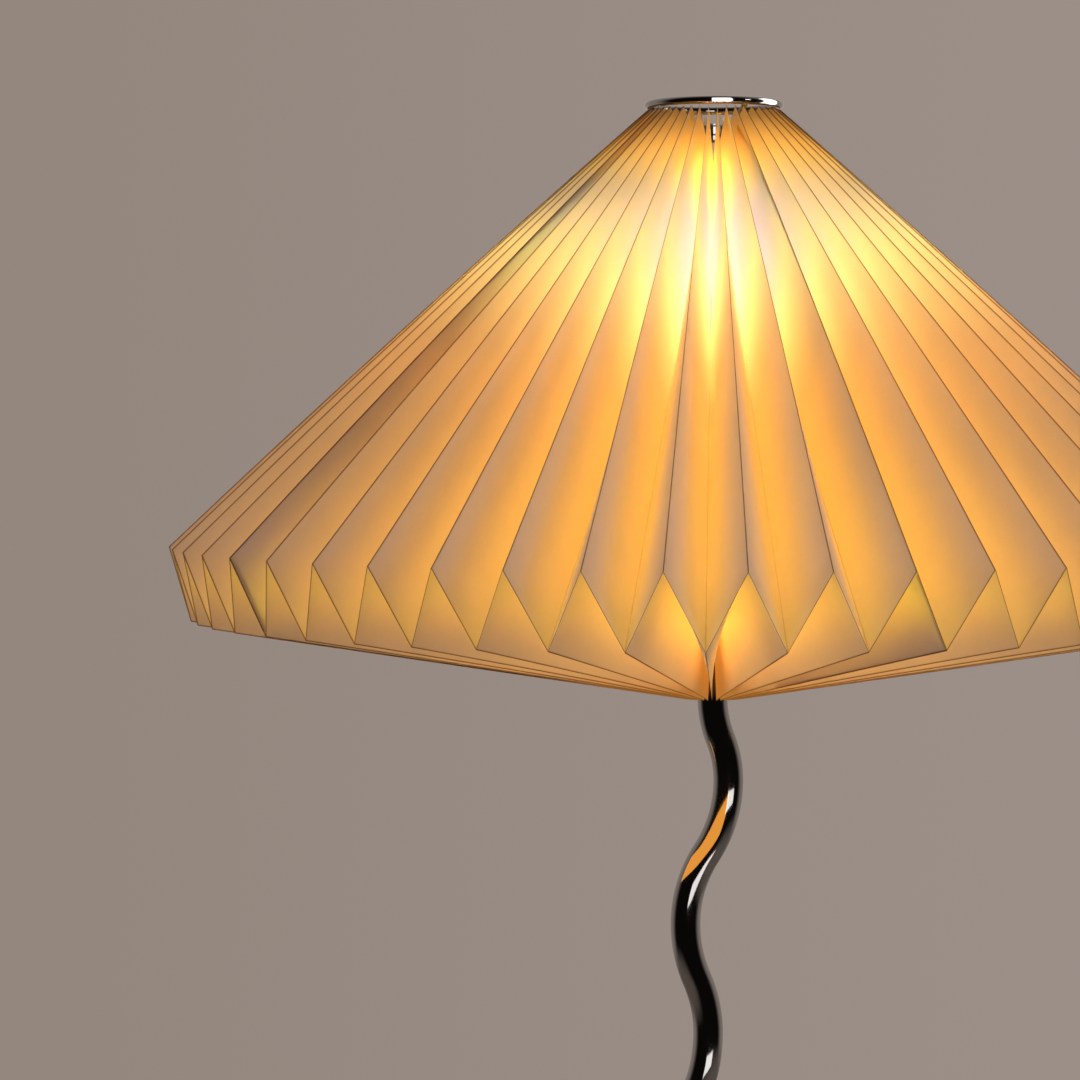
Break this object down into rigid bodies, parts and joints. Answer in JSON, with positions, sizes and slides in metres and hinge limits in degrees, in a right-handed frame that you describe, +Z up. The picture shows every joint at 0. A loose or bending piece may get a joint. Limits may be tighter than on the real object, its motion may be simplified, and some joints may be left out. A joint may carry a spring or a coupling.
{
  "type": "table lamp",
  "caption": "Table lamp with a reverse-folded pleated paper shade under a thin chrome ring, on a wavy chrome tube stem and a round weighted base.",
  "frame": {"origin": "centre of the base's underside, on the table", "axes": "+Z up along the stem's axis at its two ends, -Y to the front (the side in the picture), +X to the right seen from the front"},
  "size_m": [0.4235, 0.4233, 0.5584],
  "materials": {
    "paper": "matt translucent paper, warm where the bulb shines through",
    "chrome": "polished dark chrome plate",
    "plated_steel": "bright zinc or nickel plate",
    "iron": "black stove paint",
    "pad": "matt black",
    "holder_plastic": "black moulded plastic",
    "holder_ceramic": "unglazed white",
    "brass": "plain",
    "black_glass": "black vitrite glass",
    "bulb_glass": "clear",
    "filament": "yellow phosphor coating, lit"
  },
  "bodies": {
    "lamp_base": {"base_cover": "chrome", "base_weight": "iron", "foot_pad": "pad", "base_washer": "plated_steel", "base_nut": "plated_steel", "stem_collar": "chrome", "cord_grommet": "pad", "stem_tube": "chrome", "lower_nipple": "plated_steel", "upper_nipple": "plated_steel", "harp_saddle": "plated_steel", "harp": "plated_steel", "harp_stud": "plated_steel", "lampholder_cap": "holder_plastic", "lampholder_shell": "holder_plastic", "lampholder_insert": "holder_ceramic", "screw_shell": "brass", "centre_contact": "brass", "terminal_screws": "brass"},
    "shade": {"shade_sheet_1": "paper", "shade_sheet_2": "paper", "shade_sheet_3": "paper", "shade_sheet_4": "paper", "shade_sheet_5": "paper", "seam_flaps": "paper", "top_ring": "chrome", "spider_hub": "plated_steel", "spider_arms": "plated_steel"},
    "nut_washer": {"top_washer": "plated_steel"},
    "nut": {"top_nut": "chrome"},
    "bulb_foot": {"bulb_tip_contact": "brass", "bulb_cap_insulator": "black_glass"},
    "bulb": {"bulb_cap": "plated_steel", "bulb_glass": "bulb_glass", "bulb_mount": "bulb_glass", "led_filaments": "filament", "filament_wires": "plated_steel"}
  },
  "joints": [
    {"name": "shade_turn", "type": "hinge", "parent": "lamp_base", "child": "shade", "pos_m": [0, 0, 0.543], "axis": [0, 0, 1], "continuous": true},
    {"name": "nut_rise", "type": "slide", "parent": "lamp_base", "child": "nut_washer", "axis": [0, 0, 1], "range_m": [0, 0.005]},
    {"name": "nut_turn", "type": "hinge", "parent": "nut_washer", "child": "nut", "pos_m": [0, 0, 0.546], "axis": [0, 0, 1], "range_deg": [0, 1800]},
    {"name": "bulb_rise", "type": "slide", "parent": "lamp_base", "child": "bulb_foot", "axis": [0, 0, 1], "range_m": [0, 0.018]},
    {"name": "bulb_turn", "type": "hinge", "parent": "bulb_foot", "child": "bulb", "pos_m": [0, 0, 0.446], "axis": [0, 0, 1], "range_deg": [0, 1800]}
  ],
  "couplings": [
    {"joint": "nut_rise", "follows": "nut_turn", "m_per_rad": 0.000159},
    {"joint": "bulb_rise", "follows": "bulb_turn", "m_per_rad": 0.000572}
  ]
}
